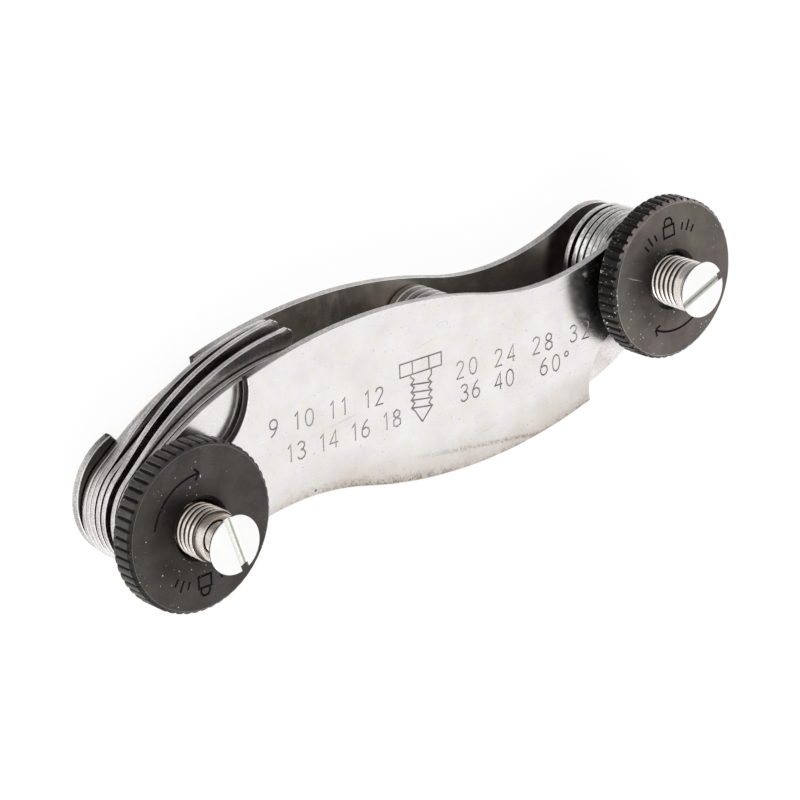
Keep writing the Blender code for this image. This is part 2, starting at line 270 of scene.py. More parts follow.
def piece(name, bm, materials, body, replaced):
    """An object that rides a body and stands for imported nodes."""
    bmesh.ops.recalc_face_normals(bm, faces=bm.faces)
    mesh = as_mesh(name, bm)
    for item in materials:
        mesh.materials.append(item)
    mesh.shade_smooth()
    obj = add_object(name, mesh)
    even_shading(obj)
    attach(obj, body)
    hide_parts(*replaced)
    return obj


def even_shading(obj):
    """Sharp edges at angles, and flat faces that stay flat beside rounded ones."""
    obj.data.set_sharp_from_angle(angle=SHARP_ANGLE)
    weighted = obj.modifiers.new("weighted_normals", "WEIGHTED_NORMAL")
    weighted.weight = 100
    weighted.keep_sharp = True


def inward(loop, distances):
    """The closed loop moved to its own left by a distance at each point."""
    moved = []
    for i, p in enumerate(loop):
        before = (p - loop[i - 1]).normalized()
        after = (loop[(i + 1) % len(loop)] - p).normalized()
        normal = Vector((-before.y - after.y, before.x + after.x))
        if normal.length < 1e-6:
            normal = Vector((-before.y, before.x)) * 2
        unit = normal.normalized()
        stretch = max(MITRE_LIMIT, unit.dot(Vector((-before.y, before.x))))
        moved.append(p + unit * (distances[i] / stretch))
    return moved


def signed_area(loop):
    return sum(a.x * b.y - b.x * a.y for a, b in zip(loop, loop[1:] + loop[:1])) / 2


def stamping(loops, roundings, thickness, place):
    """A flat sheet with rounded arrises. Slots: faces 0, upper arris 1, edge band 2, lower arris 3."""
    bm = bmesh.new()
    caps = {0: [], 1: []}
    for index, (loop, rounding) in enumerate(zip(loops, roundings)):
        anticlockwise = signed_area(loop) > 0
        if anticlockwise != (index == 0):
            loop = loop[::-1]
            rounding = rounding[::-1]
        rows = []
        for level in (0, 1):
            steps = range(ARRIS_STEPS + 1)
            for step in steps if level == 0 else reversed(steps):
                angle = math.pi / 2 * step / ARRIS_STEPS
                ring = inward(loop, [r * (1 - math.sin(angle)) for r in rounding])
                heights = [r * (1 - math.cos(angle)) for r in rounding]
                rows.append([
                    bm.verts.new(place @ Vector((p.x, p.y, thickness - h if level else h)))
                    for p, h in zip(ring, heights)
                ])
        for number, (low, high) in enumerate(zip(rows, rows[1:])):
            for i in range(len(low)):
                face = bm.faces.new((low[i - 1], low[i], high[i], high[i - 1]))
                face.material_index = 2 if number == ARRIS_STEPS else 1 if number > ARRIS_STEPS else 3
        for level, ring in ((0, rows[0]), (1, rows[-1])):
            caps[level] += [bm.edges.get((ring[i - 1], ring[i])) for i in range(len(ring))]
    for edges in caps.values():
        made = bmesh.ops.triangle_fill(bm, use_beauty=True, use_dissolve=False, edges=edges)
        for item in made["geom"]:
            if isinstance(item, bmesh.types.BMFace):
                item.material_index = 0
    return bm


def turned(profile, sides, centre, closed=False, slots=None):
    """A body turned about the vertical axis through centre, from (radius, height) points."""
    bm = bmesh.new()
    rings = []
    for radius, height in profile:
        if radius <= 0:
            rings.append([bm.verts.new((centre.x, centre.y, height))])
        else:
            rings.append([
                bm.verts.new((*polar(centre, radius, math.tau * i / sides), height))
                for i in range(sides)
            ])
    pairs = list(zip(rings, rings[1:]))
    if closed:
        pairs.append((rings[-1], rings[0]))
    for number, (a, b) in enumerate(pairs):
        for i in range(sides):
            corners = [a[i - 1] if len(a) > 1 else a[0], a[i] if len(a) > 1 else None,
                       b[i] if len(b) > 1 else None, b[i - 1] if len(b) > 1 else b[0]]
            face = bm.faces.new([c for c in corners if c])
            if slots:
                face.material_index = slots[number]
    return bm


def tube(bm, points, radius, closed):
    """A round bar along points in a level plane, for cutting a groove."""
    count = len(points)
    rings = []
    for i, p in enumerate(points):
        before = points[i - 1] if i or closed else None
        after = points[(i + 1) % count] if i < count - 1 or closed else None
        if before is None:
            direction = (after - p).normalized()
            stretch = 1.0
        elif after is None:
            direction = (p - before).normalized()
            stretch = 1.0
        else:
            first = (p - before).normalized()
            second = (after - p).normalized()
            direction = (first + second).normalized()
            stretch = 1.0 / max(MITRE_LIMIT, direction.dot(first))
        across = Vector((-direction.y, direction.x, 0.0)) * stretch
        rings.append([
            bm.verts.new(p + across * (radius * math.cos(a)) + Vector((0.0, 0.0, radius * math.sin(a))))
            for a in (math.tau * k / GROOVE_SIDES for k in range(GROOVE_SIDES))
        ])
    pairs = list(zip(rings, rings[1:]))
    if closed:
        pairs.append((rings[-1], rings[0]))
    for a, b in pairs:
        for k in range(GROOVE_SIDES):
            bm.faces.new((a[k - 1], a[k], b[k], b[k - 1]))
    if not closed:
        bm.faces.new(rings[0])
        bm.faces.new(rings[-1])


def cut(obj, strokes, radius, material):
    """Cuts round-bottomed grooves along (points, closed) strokes."""
    group = bpy.data.collections.new(obj.name + "_grooves")
    bpy.context.scene.collection.children.link(group)
    cutters = []
    for points, closed in strokes:
        bm = bmesh.new()
        tube(bm, points, radius, closed)
        bmesh.ops.recalc_face_normals(bm, faces=bm.faces)
        mesh = as_mesh("groove", bm)
        mesh.shade_smooth()
        mesh.materials.append(material)
        cutter = bpy.data.objects.new("groove", mesh)
        group.objects.link(cutter)
        cutters.append(cutter)
    subtract(obj, operand_type="COLLECTION", collection=group)
    for cutter in cutters:
        bpy.data.meshes.remove(cutter.data)
    bpy.data.collections.remove(group)


def subtract(obj, **cutter):
    """Cuts into the object and keeps the result as plain mesh."""
    boolean = obj.modifiers.new("cut", "BOOLEAN")
    boolean.operation = "DIFFERENCE"
    boolean.solver = "EXACT"
    boolean.material_mode = "TRANSFER"
    for key, value in cutter.items():
        setattr(boolean, key, value)
    obj.modifiers.remove(obj.modifiers["weighted_normals"])
    graph = bpy.context.evaluated_depsgraph_get()
    mesh = bpy.data.meshes.new_from_object(obj.evaluated_get(graph), depsgraph=graph)
    old = obj.data
    obj.modifiers.clear()
    obj.data = mesh
    bpy.data.meshes.remove(old)
    even_shading(obj)


# ---- materials

def surface(name, colour, roughness, metallic):
    mat = bpy.data.materials.new(name)
    mat.use_nodes = True
    shader = mat.node_tree.nodes["Principled BSDF"]
    shader.inputs["Base Color"].default_value = (*colour, 1.0)
    shader.inputs["Roughness"].default_value = roughness
    shader.inputs["Metallic"].default_value = metallic
    return mat, shader


class Graph:
    """Short names for the nodes that the surfaces share."""

    def __init__(self, mat):
        self.tree = mat.node_tree
        self.coords = self.add("ShaderNodeTexCoord").outputs["Object"]

    def add(self, kind, **settings):
        node = self.tree.nodes.new(kind)
        for key, value in settings.items():
            setattr(node, key, value)
        return node

    def link(self, source, target):
        self.tree.links.new(source, target)

    def mapped(self, scale=(1, 1, 1), turn=0.0, shift=(0, 0, 0)):
        node = self.add("ShaderNodeMapping")
        node.inputs["Scale"].default_value = scale
        node.inputs["Rotation"].default_value = (0, 0, turn)
        node.inputs["Location"].default_value = shift
        self.link(self.coords, node.inputs["Vector"])
        return node.outputs["Vector"]

    def noise(self, scale, detail, vector=None, roughness=0.5):
        node = self.add("ShaderNodeTexNoise")
        node.inputs["Scale"].default_value = scale
        node.inputs["Detail"].default_value = detail
        node.inputs["Roughness"].default_value = roughness
        self.link(vector or self.coords, node.inputs["Vector"])
        return node.outputs["Fac"]

    def ramp(self, value, *stops):
        """Stops are (position, colour) with a grey number or three numbers as the colour."""
        node = self.add("ShaderNodeValToRGB")
        elements = node.color_ramp.elements
        while len(elements) < len(stops):
            elements.new(0.5)
        for element, (position, colour) in zip(elements, stops):
            element.position = position
            rgb = (colour,) * 3 if isinstance(colour, (int, float)) else colour
            element.color = (*rgb, 1.0)
        self.link(value, node.inputs["Fac"])
        return node.outputs["Color"]

    def mix(self, factor, a, b, blend="MIX"):
        node = self.add("ShaderNodeMix", data_type="RGBA", blend_type=blend)
        for value, socket in ((factor, node.inputs[0]), (a, node.inputs[6]), (b, node.inputs[7])):
            if isinstance(value, bpy.types.NodeSocket):
                self.link(value, socket)
            elif isinstance(value, tuple):
                socket.default_value = (*value, 1.0)
            else:
                socket.default_value = value
        return node.outputs[2]

    def sum(self, value, offset, factor, other=0.0):
        """(value + offset) * factor + other"""
        first = self.add("ShaderNodeMath", operation="ADD")
        self.link(value, first.inputs[0])
        first.inputs[1].default_value = offset
        second = self.add("ShaderNodeMath", operation="MULTIPLY_ADD")
        self.link(first.outputs[0], second.inputs[0])
        second.inputs[1].default_value = factor
        if isinstance(other, bpy.types.NodeSocket):
            self.link(other, second.inputs[2])
        else:
            second.inputs[2].default_value = other
        return second.outputs[0]

    def times(self, a, b):
        return self.mix(1.0, a, b, "MULTIPLY")

    def ragged(self, value, scale, detail, amount, roughness=0.5):
        """The value with noise added, up to half the amount either way."""
        return self.sum(self.noise(scale, detail, roughness=roughness), -0.5, amount, value)

    def cloudy(self, dark, light, speckle, pits):
        """A cloudy tone with fine darker specks."""
        tone = self.ramp(self.noise(260.0, 6.0), (0.34, dark), (0.62, light))
        return self.times(tone, self.ramp(self.noise(speckle, 2.0), (0.34, pits), (0.56, 1.0)))

    def apart(self, centre):
        """Level distance from a point."""
        flat = self.add("ShaderNodeVectorMath", operation="MULTIPLY")
        self.link(self.coords, flat.inputs[0])
        flat.inputs[1].default_value = (1.0, 1.0, 0.0)
        node = self.add("ShaderNodeVectorMath", operation="DISTANCE")
        self.link(flat.outputs[0], node.inputs[0])
        node.inputs[1].default_value = (centre.x, centre.y, 0.0)
        return node.outputs["Value"]

    def toward(self, direction, centre=(0.0, 0.0, 0.0)):
        """How far a point lies from centre in a direction."""
        node = self.add("ShaderNodeVectorMath", operation="SUBTRACT")
        self.link(self.coords, node.inputs[0])
        node.inputs[1].default_value = centre
        dot = self.add("ShaderNodeVectorMath", operation="DOT_PRODUCT")
        self.link(node.outputs[0], dot.inputs[0])
        dot.inputs[1].default_value = direction
        return dot.outputs["Value"]

    def bump(self, shader, height, strength, distance, normal=None):
        node = self.add("ShaderNodeBump")
        node.inputs["Strength"].default_value = strength
        node.inputs["Distance"].default_value = distance
        self.link(height, node.inputs["Height"])
        if normal:
            self.link(normal, node.inputs["Normal"])
        self.link(node.outputs["Normal"], shader.inputs["Normal"])
        return node.outputs["Normal"]

    def blend_shaders(self, share, first, second, output):
        mix = self.add("ShaderNodeMixShader")
        for number, source in enumerate((share, first, second)):
            self.link(source, mix.inputs[number])
        self.link(mix.outputs[0], self.tree.nodes[output].inputs["Surface"])


def metal(name, dark, light, roughness, speckle=4500.0, pits=0.82, hair=0.25, strength=0.2):
    """Worn steel: cloudy tone, fine specks, hair scratches and a slight grain."""
    mat, shader = surface(name, light, roughness, 1.0)
    g = Graph(mat)
    g.link(g.cloudy(dark, light, speckle, pits), shader.inputs["Base Color"])
    hairs = g.noise(1500.0, 2.0, g.mapped((0.05, 1.0, 1.0), 0.4))
    low, high = roughness * (1 - hair), roughness * (1 + hair)
    g.link(g.ramp(hairs, (0.3, low), (0.75, high)), shader.inputs["Roughness"])
    g.bump(shader, g.noise(speckle, 3.0), strength, 0.00002)
    return mat


def plate_metal():
    """The plates' outer faces: satin, with pits, fine scratches and a brown tinge along the lower edge."""
    mat, shader = surface("plate_face", (0.84, 0.82, 0.8), 0.3, 1.0)
    g = Graph(mat)
    tone = g.ramp(g.noise(190.0, 6.0, roughness=0.6), (0.32, (0.8, 0.77, 0.755)),
                  (0.5, (0.85, 0.83, 0.815)), (0.68, (0.885, 0.875, 0.87)))
    hue = g.ramp(g.noise(520.0, 3.0, g.mapped(shift=(0.4, 0.2, 0.0))), (0.36, (1.0, 0.985, 0.955)),
                 (0.5, (1.0, 1.0, 1.0)), (0.64, (0.985, 0.98, 1.0)))
    pits = g.ramp(g.noise(3800.0, 2.0), (0.235, 0.6), (0.31, 1.0))
    tone = g.times(g.times(tone, hue), pits)
    for turn, shift in ((0.5, 0.0), (1.9, 0.3), (-0.35, 0.7)):
        line = g.noise(2600.0, 1.0, g.mapped((0.035, 1.0, 1.0), turn, (shift, shift, 0.0)))
        patch = g.noise(90.0, 2.0, g.mapped(shift=(shift, 0.0, 0.0)))
        scratch = g.times(g.ramp(line, (0.68, 0.0), (0.75, 1.0)), g.ramp(patch, (0.54, 0.0), (0.66, 0.45)))
        tone = g.mix(scratch, tone, (0.55, 0.52, 0.5))

    # a brown edge: distances in millimetres inside the lower edge, and a share of the way along it
    belly, waist = -plate_circles()[2], -plate_circles()[3]
    under_belly = g.sum(g.apart(belly), 0.0, -1 / MM, BELLY_RADIUS / MM)
    under_waist = g.sum(g.apart(waist), 0.0, 1 / MM, -WAIST_RADIUS / MM)
    along = g.sum(g.toward((1.0, 0.0, 0.0)), STAIN_HALF, 0.5 / STAIN_HALF)
    turn = heading(belly, waist)
    meet = (polar(belly, BELLY_RADIUS, turn).x + STAIN_HALF) * 0.5 / STAIN_HALF
    inset = g.mix(g.ramp(along, (meet - 0.002, 0.0), (meet + 0.002, 1.0)), under_waist, under_belly)
    near = g.ragged(g.sum(inset, 0.0, 0.2), 260.0, 5.0, 0.7, 0.6)
    wash = g.times(g.ramp(near, (0.0, 1.0), (1.0, 0.0)),
                   g.ramp(along, (0.15, 0.25), (0.35, 0.7), (0.6, 0.9), (0.9, 1.0)))
    tone = g.times(tone, g.ramp(wash, (0.0, 1.0), (1.0, (0.72, 0.67, 0.625))))
    wide = g.ramp(along, (0.2, 0.25), (0.3, 0.55), (0.37, 0.95), (0.46, 0.9), (0.55, 0.3), (0.68, 0.22),
                  (0.76, 0.5), (0.86, 0.85), (1.0, 0.5))
    uneven = g.sum(g.ragged(inset, 1100.0, 5.0, 2.2, 0.7), 0.0, 0.5)
    stain = g.times(g.ramp(uneven, (0.1, 1.0), (0.34, 0.45), (0.62, 0.0)), wide)
    tone = g.mix(stain, tone, (0.56, 0.505, 0.44))
    rim = g.times(g.ramp(uneven, (0.02, 0.75), (0.2, 0.0)), g.ramp(along, (0.25, 0.2), (0.45, 1.0)))
    tone = g.mix(rim, tone, (0.4, 0.33, 0.3))
    grains = g.ramp(g.noise(5200.0, 3.0, roughness=0.7), (0.46, 0.0), (0.58, 1.0))
    tone = g.mix(g.times(stain, grains), tone, (0.2, 0.175, 0.14))

    streak = g.ragged(g.sum(g.toward(STREAK_NORMAL, STREAK_POINT), 0.0, 1 / MM), 900.0, 3.0, 0.6)
    streak = g.ramp(g.sum(streak, 0.5, 1.0), (0.1, 0.0), (0.4, 1.0), (0.6, 1.0), (0.9, 0.0))
    reach = g.ramp(along, (0.44, 0.0), (0.52, 0.5), (0.66, 0.85), (0.78, 0.0))
    dots = g.ramp(g.noise(5600.0, 3.0, roughness=0.7), (0.43, 0.0), (0.56, 1.0))
    tone = g.mix(g.times(g.times(streak, reach), dots), tone, (0.3, 0.26, 0.22))
    spot = g.ragged(g.sum(g.apart(SPOT), 0.0, 1 / MM), 2600.0, 3.0, 0.7)
    tone = g.mix(g.ramp(spot, (0.06, 0.9), (0.2, 0.0)), tone, (0.05, 0.045, 0.04))
    g.link(tone, shader.inputs["Base Color"])
    g.link(g.ramp(g.noise(700.0, 4.0), (0.3, 0.17), (0.7, 0.24)), shader.inputs["Roughness"])
    waves = g.bump(shader, g.noise(2400.0, 4.0), 0.12, 0.00002)
    g.bump(shader, g.noise(8200.0, 2.0), 0.6, 0.00001, waves)
    return mat


def edge_metal():
    """The plates' cut edges, grained, with painted shade that turns them black inside the left notch."""
    mat, shader = surface("plate_edge", (0.56, 0.54, 0.52), 0.4, 1.0)
    g = Graph(mat)
    tone = g.cloudy((0.5, 0.48, 0.46), (0.72, 0.7, 0.68), 4500.0, 0.6)
    # painted shade: the edges within the left notch go black, fading further out
    notch = g.ragged(g.sum(g.apart(plate_circles()[1]), 0.0, 1 / CM), 700.0, 3.0, 0.06)
    inside = g.ramp(notch, (0.67, 0.07), (0.7, 0.42), (1.15, 1.0))
    g.link(g.times(tone, inside), shader.inputs["Base Color"])
    g.bump(shader, g.noise(4500.0, 3.0), 0.3, 0.00002)
    return mat


def inner_metal():
    """The plates' inner faces: mottled, with painted shade round the ears from the leaf stacks between the
    plates.
    """
    mat, shader = surface("plate_inside", (0.6, 0.56, 0.52), 0.32, 1.0)
    g = Graph(mat)
    tone = g.ramp(g.noise(260.0, 5.0), (0.3, (0.56, 0.515, 0.465)), (0.7, (0.78, 0.72, 0.66)))
    tone = g.times(tone, g.ramp(g.noise(5600.0, 2.0), (0.3, 0.82), (0.5, 1.0)))
    # painted shade: the inner faces darken near each stud, where the leaf stacks shade them
    left = g.ramp(g.sum(g.apart(LEFT_STUD), 0.0, 0.5 / CM), (0.36, 0.16), (0.62, 1.0))
    right = g.ramp(g.sum(g.apart(RIGHT_STUD), 0.0, 0.5 / CM), (0.35, 0.4), (0.42, 1.0))
    g.link(g.times(g.times(tone, left), right), shader.inputs["Base Color"])
    g.link(g.ramp(g.noise(900.0, 3.0), (0.3, 0.28), (0.7, 0.4)), shader.inputs["Roughness"])
    g.bump(shader, g.noise(5600.0, 3.0), 0.12, 0.00002)
    return mat


def slot_metal(name, centre, angle, bottom, stops):
    """A screw slot: bright, and grey with painted shade along the corners at its bottom."""
    mat, shader = surface(name, (0.9, 0.9, 0.88), 0.25, 1.0)
    g = Graph(mat)
    aside = g.add("ShaderNodeMath", operation="ABSOLUTE")
    across = (-math.sin(angle), math.cos(angle), 0.0)
    g.link(g.toward(across, (centre.x, centre.y, 0.0)), aside.inputs[0])
    # painted shade: darker the nearer a point lies to the slot's bottom corners
    inset = g.sum(aside.outputs[0], -SLOT_WIDTH / 2, -1 / MM)
    away = g.sum(g.toward((0.0, 0.0, 1.0), (0.0, 0.0, bottom)), 0.0, 1 / MM, inset)
    away = g.ragged(away, 3000.0, 3.0, 0.2)
    g.link(g.ramp(away, *[(at, (t, t * 1.01, t * 0.96)) for at, t in stops]), shader.inputs["Base Color"])
    return mat


def oxide(name, dark, light, dust, roughness=0.4, sheen_side=None, scratch=None, stud_shade=None):
    """Black oxide on steel, with bright specks of dust.

    The further arguments give the centre and colour of a side lightened as a painted reflection, the two ends
    of a scratch, and the stud beside which painted shade darkens the face.
    """
    mat, shader = surface(name, dark, roughness, 1.0)
    g = Graph(mat)
    tone = g.ramp(g.noise(330.0, 6.0, roughness=0.6), (0.36, dark), (0.66, light))
    tone = g.mix(g.ramp(g.noise(120.0, 3.0), (0.4, 0.0), (0.6, 0.6)), tone, (0.95, 1.03, 0.96), "MULTIPLY")
    if sheen_side:
        centre, colour = sheen_side
        # painted reflection: the bevel lighter on the side toward +Y
        side = g.ragged(g.sum(g.toward((0.0, 1.0, 0.0), centre), 0.0, 1 / NUT_RADIUS), 1500.0, 4.0, 0.35)
        tone = g.mix(g.ramp(side, (0.45, 0.0), (0.8, 1.0)), tone, colour)
    if stud_shade:
        # painted shade: the face darkens beside the stud, mostly on one side
        stud_shade_mask = g.ragged(g.sum(g.apart(stud_shade + STUD_SHADE_OFFSET), 0.0, 1 / CM), 420.0, 4.0, 0.25)
        tone = g.times(tone, g.ramp(stud_shade_mask, (0.38, 0.55), (0.62, 1.0)))
    specks = g.ramp(g.noise(3300.0, 2.0), (0.72 - dust, 0.0), (0.75 - dust, 1.0))
    here = g.ramp(g.noise(240.0, 3.0), (0.46, 0.0), (0.6, 1.0))
    tone = g.mix(g.times(specks, here), tone, (0.7, 0.68, 0.66))
    if scratch:
        start, end = scratch
        middle, run = (start + end) / 2, (end - start) / 2
        unit = run.normalized()
        place = (middle.x, middle.y, 0.0)
        ahead = g.sum(g.toward((unit.x, unit.y, 0.0), place), 0.0, 0.5 / run.length, 0.5)
        aside = g.sum(g.toward((-unit.y, unit.x, 0.0), place), 0.0, 1 / SCRATCH_WIDTH, 0.5)
        line = g.times(g.ramp(ahead, (0.0, 0.0), (0.3, 1.0), (0.6, 1.0), (1.0, 0.0)),
                       g.ramp(g.ragged(aside, 1600.0, 3.0, 0.5), (0.3, 0.0), (0.5, 0.9), (0.7, 0.0)))
        tone = g.mix(line, tone, (0.6, 0.57, 0.53))
    g.link(tone, shader.inputs["Base Color"])
    gloss = g.ramp(g.noise(900.0, 4.0), (0.3, roughness * 0.85), (0.7, roughness * 1.2))
    g.link(gloss, shader.inputs["Roughness"])
    g.bump(shader, g.noise(2600.0, 4.0), 0.25, 0.00003)
    return mat


plate_face = plate_metal()
plate_arris = metal("plate_arris", (0.82, 0.8, 0.78), (0.97, 0.95, 0.93), 0.25)
plate_edge = edge_metal()
plate_inside = inner_metal()
# painted shade: the faces of the leaves behind the front one, a darker copy of the front leaf's steel
leaf_face_shaded = metal("leaf_face_shaded", (0.36, 0.335, 0.32), (0.58, 0.55, 0.53), 0.28, pits=0.7)
leaf_front = metal("leaf_front", (0.84, 0.82, 0.8), (0.9, 0.885, 0.87), 0.22, pits=0.94, hair=0.12,
                   strength=0.06)
leaf_front_pink = metal("leaf_front_pink", (0.7, 0.645, 0.62), (0.88, 0.84, 0.82), 0.24, pits=0.85)
# painted highlight: the leaves' upper arris, lighter than their faces and edges
leaf_arris_highlight = metal("leaf_arris_highlight", (0.86, 0.84, 0.82), (0.97, 0.96, 0.94), 0.3, pits=0.85)
# painted shade: the leaves' lower arris, a dark copy of the same steel
leaf_under_shade = metal("leaf_under_shade", (0.24, 0.22, 0.205), (0.4, 0.375, 0.355), 0.4)
leaf_edge = metal("leaf_edge", (0.56, 0.535, 0.52), (0.86, 0.83, 0.81), 0.27, speckle=6500.0, pits=0.58,
                  strength=0.35)
leaf_edge_streaked = metal("leaf_edge_streaked", (0.42, 0.4, 0.385), (0.98, 0.96, 0.94), 0.2,
                           speckle=2600.0, pits=0.5, strength=0.35)
# painted shade and highlight: the washers' steel dark, as if shaded between the plates; their upper arris
# painted light
washer_steel = metal("washer_steel", (0.16, 0.14, 0.125), (0.3, 0.27, 0.245), 0.24)
washer_rim_highlight = metal("washer_rim_highlight", (0.75, 0.73, 0.7), (0.95, 0.93, 0.9), 0.25)
nickel = metal("nickel", (0.58, 0.5, 0.43), (0.92, 0.87, 0.83), 0.2)
# painted shade: a near-black copy of the nickel for the faces round each thread's root
nickel_root_shade = metal("nickel_root_shade", (0.025, 0.018, 0.014), (0.09, 0.07, 0.056), 0.35)
chrome = metal("chrome", (0.95, 0.955, 0.945), (0.98, 0.985, 0.975), 0.12, speckle=900.0, pits=0.99, hair=0.1,
               strength=0.02)
etched = metal("etched", (0.26, 0.24, 0.225), (0.5, 0.47, 0.45), 0.45)
left_black = oxide("left_black", (0.07, 0.064, 0.06), (0.115, 0.106, 0.1), 0.03)
right_black = oxide("right_black", (0.016, 0.015, 0.014), (0.03, 0.027, 0.025), 0.08)
black_groove = oxide("black_groove", (0.015, 0.014, 0.013), (0.03, 0.027, 0.025), 0.0, 0.6)
left_black_face = oxide("left_black_face", (0.062, 0.054, 0.05), (0.09, 0.08, 0.074), 0.025,
                        stud_shade=LEFT_STUD)
right_black_face = oxide("right_black_face", (0.125, 0.104, 0.098), (0.175, 0.148, 0.139), 0.03,
                         scratch=SCRATCH, stud_shade=RIGHT_STUD)
# worn edge and painted highlight: the thin rim round each nut's face, lighter than the face
left_black_rim = oxide("left_black_rim", (0.13, 0.118, 0.11), (0.26, 0.24, 0.225), 0.04)
right_black_rim = oxide("right_black_rim", (0.24, 0.21, 0.195), (0.5, 0.46, 0.43), 0.09)
left_black_bevel = oxide("left_black_bevel", (0.03, 0.027, 0.025), (0.052, 0.047, 0.044), 0.04,
                         sheen_side=(LEFT_STUD, (0.1, 0.092, 0.088)))
right_black_bevel = oxide("right_black_bevel", (0.04, 0.036, 0.034), (0.065, 0.059, 0.055), 0.09,
                          sheen_side=(RIGHT_STUD, (0.33, 0.275, 0.265)))


# ---- pieces

def add_plates():
    outline = plate_outline()
    rounding = [PLATE_ARRIS] * len(outline)
    for name in ("back_plate", "front_plate"):
        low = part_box(name)[0].z
        holes = []
        if name == "front_plate":
            holes = [bore(LEFT_STUD), bore(RIGHT_STUD)]
        bm = stamping(
            [outline, *holes], [rounding, *[[PLATE_ARRIS] * len(h) for h in holes]],
            PLATE_THICKNESS, Matrix.Translation((0.0, 0.0, low)),
        )
        finishes = (plate_face, plate_arris, plate_edge, plate_arris, plate_inside)
        plate = piece(name + "_piece", bm, finishes, "case", (name,))
        inside = 1 if name == "back_plate" else -1
        for face in plate.data.polygons:
            if face.material_index == 0 and face.normal.z * inside > 0:
                face.material_index = 4
        if name == "front_plate":
            cut(plate, plate_marks(), MARK_RADIUS, etched)


def add_leaves():
    hole = bore(Vector((0.0, 0.0)))
    for side, stud, half_turn, threads, fans in (
        ("left", LEFT_STUD, 0.0, LEFT_THREADS_PER_INCH, LEFT_FAN_DEGREES),
        ("right", RIGHT_STUD, math.pi, RIGHT_THREADS_PER_INCH, RIGHT_FAN_DEGREES),
    ):
        for i, (per_inch, fan) in enumerate(zip(threads, fans)):
            node = f"{side}_leaf_{i + 1}"
            outline, rounding = leaf_outline(INCH / per_inch)
            place = Matrix.Translation((stud.x, stud.y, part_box(node)[0].z))
            turn = Matrix.Rotation(half_turn + HOME_ANGLE + math.radians(fan), 4, "Z")
            bm = stamping([outline, hole], [rounding, [TOOTH_ARRIS] * len(hole)], LEAF_THICKNESS,
                          place @ turn)
            front = leaf_front if side == "left" else leaf_front_pink
            # the leaves behind the front one take the painted shade on their faces
            face = front if i == len(fans) - 1 else leaf_face_shaded
            edge = leaf_edge if side == "left" else leaf_edge_streaked
            piece(node + "_piece", bm, (face, leaf_arris_highlight, edge, leaf_under_shade), f"{side}_blade_{i + 1}",
                  (node,))


def add_washers():
    arris = WASHER_ARRIS
    for side in ("left", "right"):
        for i in range(PILLAR_WASHERS):
            node = f"{side}_washer_{i + 1}"
            low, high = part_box(node)
            centre = (low + high) / 2
            flat = (high.x - low.x) / 2 - arris
            low, high = low.z, high.z
            profile = [(WASHER_BORE, low), (flat, low)]
            profile += [
                (flat + arris * math.sin(a), low + arris - arris * math.cos(a)) for a in QUARTER_TURN[1:]
            ]
            profile += [
                (flat + arris * math.cos(a), high - arris + arris * math.sin(a)) for a in QUARTER_TURN
            ]
            profile += [(WASHER_BORE, high)]
            slots = [0, 0, 0, 0, 0, 1, 1, 1, 0, 0]  # the upper arris takes the painted highlight
            bm = turned(profile, 64, centre, closed=True, slots=slots)
            piece(node + "_piece", bm, (washer_steel, washer_rim_highlight), "case", (node,))
        low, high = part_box(f"{side}_rivet")
        top = high.z - RIVET_INSET
        profile = [(0.0, RIVET_INSET), (RIVET_RADIUS, RIVET_INSET), (RIVET_RADIUS, top), (0.0, top)]
        bm = turned(profile, 48, (low + high) / 2)
        piece(f"{side}_rivet_piece", bm, (washer_steel,), "case", (f"{side}_rivet",))


def thread(bm, centre, low, high):
    """A single-start thread between two heights, as a surface wound round the axis."""
    around, per_pitch = 60, 12
    turns = math.ceil((high - low) / THREAD_PITCH) + 3
    start = low - 1.5 * THREAD_PITCH  # wound past both ends, then cut level
    columns = []
    for i in range(around):
        column = []
        for j in range(turns * per_pitch):
            height = start + THREAD_PITCH * (j / per_pitch + i / around)
            wave = 0.5 + 0.5 * math.cos(math.tau * j / per_pitch)
            radius = THREAD_ROOT + (THREAD_CREST - THREAD_ROOT) * wave**0.8
            column.append(bm.verts.new((*polar(centre, radius, math.tau * i / around), height)))
        columns.append(column)
    for i in range(around):
        shift = per_pitch if i == 0 else 0
        for j in range(turns * per_pitch - 1):
            if j + shift + 1 >= turns * per_pitch:
                continue
            a, b = columns[i - 1], columns[i]
            face = bm.faces.new((a[j], b[j + shift], b[j + shift + 1], a[j + 1]))
            # the faces round each root take the painted shade
            face.material_index = 1 if j % per_pitch in (3, 4, 5, 6, 7) else 0
    for height, normal in ((low, -1.0), (high, 1.0)):
        bmesh.ops.bisect_plane(
            bm, geom=bm.verts[:] + bm.edges[:] + bm.faces[:], dist=1e-7,
            plane_co=(0, 0, height), plane_no=(0, 0, normal), clear_outer=True,
        )
    bmesh.ops.holes_fill(bm, edges=[e for e in bm.edges if e.is_boundary], sides=0)


def merge(bm, other):
    mesh = as_mesh("part", other)
    bm.from_mesh(mesh)
    bpy.data.meshes.remove(mesh)


def leaned(bm):
    """Leans a stud or screw, as each stands a hair off its plate's square."""
    for v in bm.verts:
        v.co.x += LEAN.x * v.co.z
        v.co.y += LEAN.y * v.co.z
    return bm


